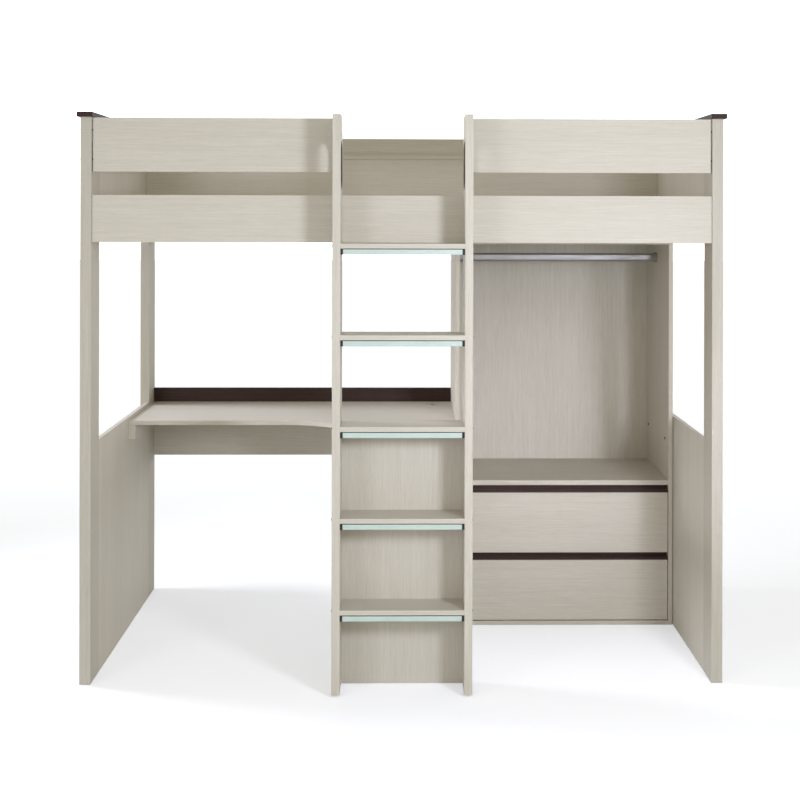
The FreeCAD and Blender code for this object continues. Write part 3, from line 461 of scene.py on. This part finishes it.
def softwood(name, turn):
    """Planed softwood with growth bands and fine fibre."""
    material, tree, shader, place = new_material(name)
    along = turned(tree, place, turn)
    growth = stretched_noise(tree, along, GROWTH_STRETCH, detail=3)
    fibre = stretched_noise(tree, along, FIBRE_STRETCH, detail=2)
    share = spread(tree, weighted(tree, (growth, GROWTH_WEIGHT), (fibre, FIBRE_WEIGHT)), WOOD_RANGE, (0, 1))
    tree.links.new(mixed(tree, share, DEEP_WOOD, PALE_WOOD), shader.inputs["Base Color"])
    tree.links.new(spread(tree, fibre, FIBRE_RANGE, WOOD_ROUGHNESS), shader.inputs["Roughness"])
    roughen(tree, shader, fibre, FIBRE_DEPTH)
    return material


def rounded_bars(node, rounding, steps):
    """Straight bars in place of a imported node's solids, their edges rounded over."""
    mesh = bmesh.new()
    for low, high in boxes(node):
        shape = Matrix.Translation((low + high) / 2) @ Matrix.Diagonal((*(high - low), 1))
        verts = bmesh.ops.create_cube(mesh, size=1, matrix=shape)["verts"]
        bmesh.ops.bevel(
            mesh, geom=loop_edges(verts), offset=rounding, segments=steps, profile=0.5, material=-1,
            affect="EDGES",
        )
    return mesh


slats = rounded_bars("bed_slats", rounding=0.004, steps=4)
wood_crosswise = softwood("planed softwood crosswise", FRONT_TO_REAR)
add_piece("slat_set", slats, wood_crosswise, "bed", "bed_slats")
dress(softwood("planed softwood along", ALONG_BED), "slat_bearers")

# Ladder: two upright stringers, five treads screwed between them and a panel that closes its lower
# half, all greige boards. Blackened pan-head screws with cross recesses hold it together.
TREADS = 5
dress(greige_upright, "left_stringer", "right_stringer", "ladder_panel")
dress(greige_along, *(f"tread_{number}" for number in range(1, TREADS + 1)))


def cross(length, width):
    """Reach of a cross recess by angle, from its arms' length and width."""
    def reach(angle):
        turn = abs((angle + math.pi / 4) % (math.pi / 2) - math.pi / 4)
        in_end = math.tan(turn) * length <= width
        return length / 2 / math.cos(turn) if in_end else width / 2 / math.sin(turn)
    return reach


SCREW_RECESS = cross(length=0.0052, width=0.0016)
SCREW_HEAD, SCREW_SINK, SCREW_SHANK = 0.010, 0.0016, 0.005
screws = drive_all("ladder_screws", SCREW_HEAD, HEAD_HEIGHT, SCREW_RECESS, SCREW_SINK, SCREW_SHANK)
add_piece("ladder_screw_set", screws, blackened_steel, "bed", "ladder_screws")

# Tread nosings and glides: a black moulded channel under each tread's front edge, and a pale mint strip
# of soft-edged plastic pressed into it, which shows the step in the dark. Black glides are nailed under
# the stringers.
SPARK_STRETCH, CLOUD_STRETCH = (1900, 1900, 1900), (22, 22, 22)
CLOUD_RANGE, CLOUD_DULLNESS = (0.3, 0.7), 0.35


def moulded_group():
    """The fine spark texture of a plastic mould, as a roughness, a relief and a faint shade."""
    group, first, last = new_group(
        "moulded texture",
        (("Vector", "NodeSocketVector"), ("Gloss", "NodeSocketFloat")),
        (("Roughness", "NodeSocketFloat"), ("Height", "NodeSocketFloat"), ("Shade", "NodeSocketFloat")),
    )
    sparks = stretched_noise(group, first.outputs["Vector"], SPARK_STRETCH, detail=1)
    clouds = stretched_noise(group, first.outputs["Vector"], CLOUD_STRETCH, detail=3)
    uneven = combine(group, "MULTIPLY", combine(group, "SUBTRACT", clouds, NOISE_MEAN), CLOUD_DULLNESS)
    group.links.new(combine(group, "ADD", uneven, first.outputs["Gloss"]), last.inputs["Roughness"])
    group.links.new(sparks, last.inputs["Height"])
    group.links.new(spread(group, clouds, CLOUD_RANGE, (0, 1)), last.inputs["Shade"])
    return group


moulded_texture = moulded_group()


def moulded(name, light, dark, roughness, depth):
    """Moulded plastic with a faintly uneven colour."""
    material, tree, shader, place = new_material(name)
    skin = tree.nodes.new("ShaderNodeGroup")
    skin.node_tree = moulded_texture
    skin.inputs["Gloss"].default_value = roughness
    tree.links.new(place, skin.inputs["Vector"])
    tree.links.new(mixed(tree, skin.outputs["Shade"], dark, light), shader.inputs["Base Color"])
    tree.links.new(skin.outputs["Roughness"], shader.inputs["Roughness"])
    roughen(tree, shader, skin.outputs["Height"], depth)
    return material


black_plastic = moulded(
    "black moulded plastic", light=tone(38, 38, 40), dark=tone(27, 27, 28), roughness=0.48, depth=0.00006,
)
dress(black_plastic, "tread_channels", "ladder_glides")

mint_plastic = moulded(
    "mint glow plastic", light=tone(199, 216, 212), dark=tone(191, 210, 205), roughness=0.38, depth=0.00002,
)
mint_shader = mint_plastic.node_tree.nodes["Principled BSDF"]
mint_shader.inputs["Subsurface Weight"].default_value = 0.15
mint_shader.inputs["Subsurface Radius"].default_value = (0.002, 0.002, 0.002)
strips = rounded_bars("tread_glow_strips", rounding=0.0016, steps=4)
add_piece("glow_strip_set", strips, mint_plastic, "bed", "tread_glow_strips")

# Hand grips: black moulded linings pressed into the oval hand holes of the stringers. The sleeve goes
# right through, and a rounded rim lies on the face that the climber's hand meets.
OVAL_STEPS = 64


def oval_ring(mesh, place, radius, straight):
    """An upright oval across X at a place: half circles parted by a straight stretch."""
    upright = Euler((0, math.pi / 2, 0)).to_matrix().to_4x4()
    turn = Matrix.Rotation(math.pi / OVAL_STEPS, 4, "X") @ upright
    verts = bmesh.ops.create_circle(mesh, segments=OVAL_STEPS, radius=radius, matrix=turn)["verts"]
    for sign in (-1, 1):
        half = [vert for vert in verts if vert.co.z * sign > 0]
        bmesh.ops.translate(mesh, verts=half, vec=(0, 0, sign * straight / 2))
    bmesh.ops.translate(mesh, verts=verts, vec=place)
    return loop_edges(verts)


def oval_skin(low, high, outline, closed):
    """A skin over upright ovals in a box, from the radius of each and its place along X."""
    mesh = bmesh.new()
    middle, straight = (low + high) / 2, (high.z - low.z) - (high.y - low.y)
    rings = [oval_ring(mesh, (at, middle.y, middle.z), radius, straight) for radius, at in outline]
    followers = rings[1:] + rings[:1] if closed else rings[1:]
    for ring, follower in zip(rings, followers):
        bmesh.ops.bridge_loops(mesh, edges=ring + follower)
    if not closed:
        bmesh.ops.holes_fill(mesh, edges=mesh.edges)
    bmesh.ops.recalc_face_normals(mesh, faces=mesh.faces)
    return mesh


GRIP_RIM, GRIP_WALL, GRIP_PROUD = 0.004, 0.0025, 0.0008
MOUTH_REACH, MOUTH_RISE, MOUTH_STEPS = 0.0021, 0.0018, 3
RIM_REACH, RIM_RISE, RIM_STEPS = 0.0012, 0.0005, 2
for side, inwards in zip(SIDES, (1, -1)):
    low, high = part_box(f"{side}_grip")
    inner, outer = (high.x, low.x) if inwards > 0 else (low.x, high.x)
    edge = (high.y - low.y) / 2
    hole = edge - GRIP_RIM - GRIP_WALL
    face = inner - inwards * GRIP_PROUD
    outline = [(hole, outer)]
    for across, up in quarter_round(MOUTH_REACH, MOUTH_RISE, MOUTH_STEPS):
        outline.append((hole + across, inner - inwards * (MOUTH_RISE - up)))
    for across, up in reversed(quarter_round(RIM_REACH, RIM_RISE, RIM_STEPS)):
        outline.append((edge - across, inner - inwards * (RIM_RISE - up)))
    outline += [(edge, face), (hole + GRIP_WALL, face), (hole + GRIP_WALL, outer)]
    grip = oval_skin(low, high, outline, closed=True)
    add_piece(f"{side}_hand_grip", grip, black_plastic, "bed", f"{side}_grip")

# Desk: an L-shaped greige top with the grain along the bed, on an apron and two cleats, with a dark
# brown upstand along its rear edge. The boards are screwed to the end frame and the wardrobe.
greige_crosswise = melamine(
    "greige melamine crosswise", FRONT_TO_REAR, PALE_STREAK, DEEP_STREAK, GREIGE_CONTRAST,
)
brown_along = brown("brown melamine along", ALONG_BED)
dress(greige_along, "desk_top", "desk_apron")
dress(greige_crosswise, "desk_cleats")
dress(brown_along, "desk_upstand")

# Cable outlet: a moulded sleeve with a thin rounded flange, pushed into a hole in the desk, and a cap
# with a cable slot that turns on a step inside it. Both are coloured to match the board.
greige_plastic = moulded(
    "greige moulded plastic", light=tone(206, 200, 188), dark=tone(196, 190, 177),
    roughness=0.42, depth=0.00004,
)
OUTLET_STEPS = 72
SLEEVE, BORE, SEAT = 0.0288, 0.0235, 0.0255
FLANGE_THICK, CAP_THICK = 0.002, 0.0025
FLANGE_REACH, FLANGE_RISE, FLANGE_STEPS = 0.0022, 0.0012, 2
SEAT_EASE, SEAT_EASE_DEPTH = 0.0008, 0.0006
low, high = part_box("cable_outlet")
middle = (low + high) / 2
flange = (high.x - low.x) / 2
section = [(BORE, low.z), (SLEEVE, low.z), (SLEEVE, high.z - FLANGE_THICK), (flange, high.z - FLANGE_THICK)]
for across, up in quarter_round(FLANGE_REACH, FLANGE_RISE, FLANGE_STEPS):
    section.append((flange - across, high.z - FLANGE_RISE + up))
section += [(SEAT + SEAT_EASE, high.z), (SEAT, high.z - SEAT_EASE_DEPTH)]
section += [(SEAT, high.z - CAP_THICK), (BORE, high.z - CAP_THICK)]
outlet = bmesh.new()
profile = [outlet.verts.new((middle.x + radius, middle.y, height)) for radius, height in section]
for first, second in zip(profile, profile[1:] + profile[:1]):
    outlet.edges.new((first, second))
bmesh.ops.spin(
    outlet, geom=outlet.verts[:] + outlet.edges[:], cent=middle, axis=(0, 0, 1), angle=math.tau,
    steps=OUTLET_STEPS, use_merge=True,
)
bmesh.ops.recalc_face_normals(outlet, faces=outlet.faces)
add_piece("cable_outlet_ring", outlet, greige_plastic, "bed", "cable_outlet")

CABLE_SLOT, LID_ROUNDING, LID_STEPS = 0.016, 0.0006, 3
low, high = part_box("cable_outlet_cap")
radius = (high.x - low.x) / 2
slot_end = CABLE_SLOT - radius
cap = bmesh.new()
bmesh.ops.create_circle(cap, cap_ends=True, segments=OUTLET_STEPS, radius=radius)
cuts = [((side * CABLE_SLOT / 2, 0, 0), (1, 0, 0)) for side in (1, -1)]
cuts.append(((0, slot_end, 0), (0, 1, 0)))
for place, square_to in cuts:
    disc = cap.verts[:] + cap.edges[:] + cap.faces[:]
    bmesh.ops.bisect_plane(cap, geom=disc, plane_co=place, plane_no=square_to)
centres = [(face, face.calc_center_median()) for face in cap.faces]
slot_faces = [face for face, centre in centres if abs(centre.x) < CABLE_SLOT / 2 and centre.y < slot_end]
bmesh.ops.delete(cap, geom=slot_faces, context="FACES")
bmesh.ops.dissolve_faces(cap, faces=cap.faces[:])
raised = bmesh.ops.extrude_face_region(cap, geom=cap.faces[:])["geom"]
lid = [item for item in raised if isinstance(item, bmesh.types.BMVert)]
bmesh.ops.translate(cap, verts=lid, vec=(0, 0, high.z - low.z))
bmesh.ops.bevel(
    cap, geom=loop_edges(lid), offset=LID_ROUNDING, segments=LID_STEPS, profile=0.5, material=-1,
    affect="EDGES",
)
bmesh.ops.recalc_face_normals(cap, faces=cap.faces)
bmesh.ops.translate(cap, verts=cap.verts, vec=((low.x + high.x) / 2, high.y - radius, low.z))
add_piece("cable_outlet_lid", cap, greige_plastic, "outlet_cap", "cable_outlet_cap")

# Wardrobe: greige sides, top, shelf and base with a thin back let into grooves, joined to the right
# end frame by two dark screws. The back's print is the liveliest, with broad upright figure.
BACK_CONTRAST = 0.9
greige_back = melamine("greige melamine back", UPRIGHT, PALE_STREAK, DEEP_STREAK, BACK_CONTRAST)
dress(greige_upright, "wardrobe_left_side", "wardrobe_right_side")
dress(greige_along, "wardrobe_top", "wardrobe_shelf", "wardrobe_base")
dress(greige_back, "wardrobe_back")
JOINING_HEAD = 0.011
joining = drive_all("wardrobe_screws", JOINING_HEAD, HEAD_HEIGHT, SCREW_RECESS, SCREW_SINK, SCREW_SHANK)
add_piece("wardrobe_screw_pair", joining, blackened_steel, "bed", "wardrobe_screws")

# Hanging rail: an oval tube of satin plated steel between two sockets of the same finish, which are
# screwed to the wardrobe sides. The tube is drawn, so its fine marks run along it.
satin_steel = steel("satin plated steel", tone(160, 160, 161), dullness=0.45, depth=0.00001)
RAIL_WALL = 0.0012
low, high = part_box("hanging_rail")
outside = (high.y - low.y) / 2
inside = outside - RAIL_WALL
outline = ((outside, low.x), (outside, high.x), (inside, high.x), (inside, low.x))
tube = oval_skin(low, high, outline, closed=True)
add_piece("hanging_tube", tube, satin_steel, "bed", "hanging_rail")

SOCKET_RIM, SOCKET_FLOOR, SOCKET_EASE, SOCKET_CORE = 0.0038, 0.003, 0.001, 0.002
sockets = bmesh.new()
for (low, high), outwards in zip(boxes("rail_sockets"), (-1, 1)):
    wall, mouth = (low.x, high.x) if outwards < 0 else (high.x, low.x)
    bottom = wall - outwards * SOCKET_FLOOR
    edge = (high.y - low.y) / 2
    well = edge - SOCKET_RIM
    outline = (
        (SOCKET_CORE, wall), (edge, wall), (edge, mouth + outwards * SOCKET_EASE),
        (edge - SOCKET_EASE, mouth), (well, mouth), (well, bottom), (SOCKET_CORE, bottom),
    )
    absorb(sockets, oval_skin(low, high, outline, closed=False))
add_piece("rail_socket_pair", sockets, satin_steel, "bed", "rail_sockets")

# Drawers: greige fronts with dark brown pull channels along their tops, and boxes of the same board
# whose grooved sides slide on black moulded runners screwed to the wardrobe.
for level in ("lower", "upper"):
    dress(greige_along, f"{level}_drawer_front", f"{level}_drawer_back", f"{level}_drawer_bottom")
    dress(greige_crosswise, f"{level}_drawer_sides")
    dress(brown_along, f"{level}_drawer_pull")
runners = rounded_bars("drawer_runners", rounding=0.0015, steps=3)
add_piece("runner_set", runners, black_plastic, "bed", "drawer_runners")

# Studio: a white floor that runs out of sight, a pale surround that is brightest low behind the bed, a
# soft key light to the right of the bed's front, a broad one to the left, a narrow one that reaches
# into the wardrobe and one that comes over the desk through the open left end.
FLOOR_REACH = 40
FLOOR_DEPTHS, FLOOR_GLOW = (0.6, 3), (0.42, 0.6)
floor_mesh = bmesh.new()
bmesh.ops.create_grid(floor_mesh, x_segments=1, y_segments=1, size=FLOOR_REACH)
floor_data = bpy.data.meshes.new("floor")
floor_mesh.to_mesh(floor_data)
floor_mesh.free()
floor = bpy.data.objects.new("floor", floor_data)
bpy.context.scene.collection.objects.link(floor)
floor_paint, tree, shader, place = new_material("floor paint")
shader.inputs["Base Color"].default_value = (0.9, 0.9, 0.9, 1)
shader.inputs["Roughness"].default_value = 0.9
shader.inputs["Specular IOR Level"].default_value = 0.1
shader.inputs["Emission Color"].default_value = (0.86, 0.9, 1, 1)
seen = tree.nodes.new("ShaderNodeLightPath").outputs["Is Camera Ray"]
depth = tree.nodes.new("ShaderNodeSeparateXYZ")
tree.links.new(place, depth.inputs["Vector"])
glow = spread(tree, depth.outputs["Y"], FLOOR_DEPTHS, FLOOR_GLOW)
tree.links.new(combine(tree, "MULTIPLY", seen, glow), shader.inputs["Emission Strength"])
floor_data.materials.append(floor_paint)

BEHIND, AROUND, OVERHEAD = 1.35, 0.93, 0.31
REAR_ARC, LOW_ARC, SKY_ARC, NEUTRAL_ARC = (0.2, 0.8), (0.05, 0.6), (0, 0.9), (0.1, 0.7)
WARM, WHITE, COOL = (1, 0.955, 0.79, 1), (1, 1, 1, 1), (0.86, 0.88, 1)
surround = bpy.data.worlds.new("surround")
bpy.context.scene.world = surround
surround.use_nodes = True
tree = surround.node_tree
direction = tree.nodes.new("ShaderNodeSeparateXYZ")
tree.links.new(tree.nodes.new("ShaderNodeTexCoord").outputs["Generated"], direction.inputs["Vector"])
rearwards, upwards = direction.outputs["Y"], direction.outputs["Z"]
to_rear = spread(tree, rearwards, REAR_ARC, (0, BEHIND))
backdrop = combine(tree, "MULTIPLY", to_rear, spread(tree, upwards, LOW_ARC, (1, 0)))
ambient = combine(tree, "ADD", spread(tree, upwards, SKY_ARC, (AROUND, OVERHEAD)), backdrop)
seen = tree.nodes.new("ShaderNodeLightPath").outputs["Is Camera Ray"]
neutral = combine(tree, "MAXIMUM", spread(tree, rearwards, NEUTRAL_ARC, (0, 1)), seen)
background = tree.nodes["Background"]
tree.links.new(combine(tree, "MAXIMUM", ambient, seen), background.inputs["Strength"])
tree.links.new(mixed(tree, neutral, WARM, WHITE), background.inputs["Color"])


def soft_light(name, place, aim, size, power, beam=math.pi):
    """A square soft box at a place, turned towards a point."""
    data = bpy.data.lights.new(name, "AREA")
    data.shape = "SQUARE"
    data.size = size
    data.energy = power
    data.color = COOL
    data.spread = beam
    lamp = bpy.data.objects.new(name, data)
    lamp.location = place
    lamp.rotation_euler = (Vector(aim) - Vector(place)).to_track_quat("-Z", "Y").to_euler()
    bpy.context.scene.collection.objects.link(lamp)


soft_light("key", place=(1.4, -2.78, 1.56), aim=(-0.1, -0.2, 1.0), size=0.45, power=16, beam=2.0)
soft_light("fill", place=(-3.44, -5.1, 1.7), aim=(0, -0.2, 0.9), size=1.6, power=54)
soft_light("wardrobe", place=(1.75, -4.6, 1.5), aim=(0.5, 0.35, 0.62), size=0.2, power=0.58, beam=0.25)
soft_light("side", place=(-3.2, 0.5, 2.1), aim=(-0.5, 0.15, 0.77), size=0.9, power=14, beam=1.4)

CAMERA_PLACE = (-0.0011, -4.8967, 1.5276)
CAMERA_TURN, CAMERA_ROLL = -0.0155, 0.0023
camera_data = bpy.data.cameras.new("photo camera")
camera_data.sensor_width = 36
camera_data.lens = 60.79
camera_data.shift_x = -0.0294
camera_data.shift_y = -0.232
camera = bpy.data.objects.new("photo camera", camera_data)
camera.matrix_world = (
    Matrix.Translation(CAMERA_PLACE) @ Matrix.Rotation(CAMERA_TURN, 4, "Z")
    @ Matrix.Rotation(math.pi / 2, 4, "X") @ Matrix.Rotation(CAMERA_ROLL, 4, "Z")
)
bpy.context.scene.collection.objects.link(camera)
bpy.context.scene.camera = camera
bpy.context.scene.view_settings.view_transform = "Standard"
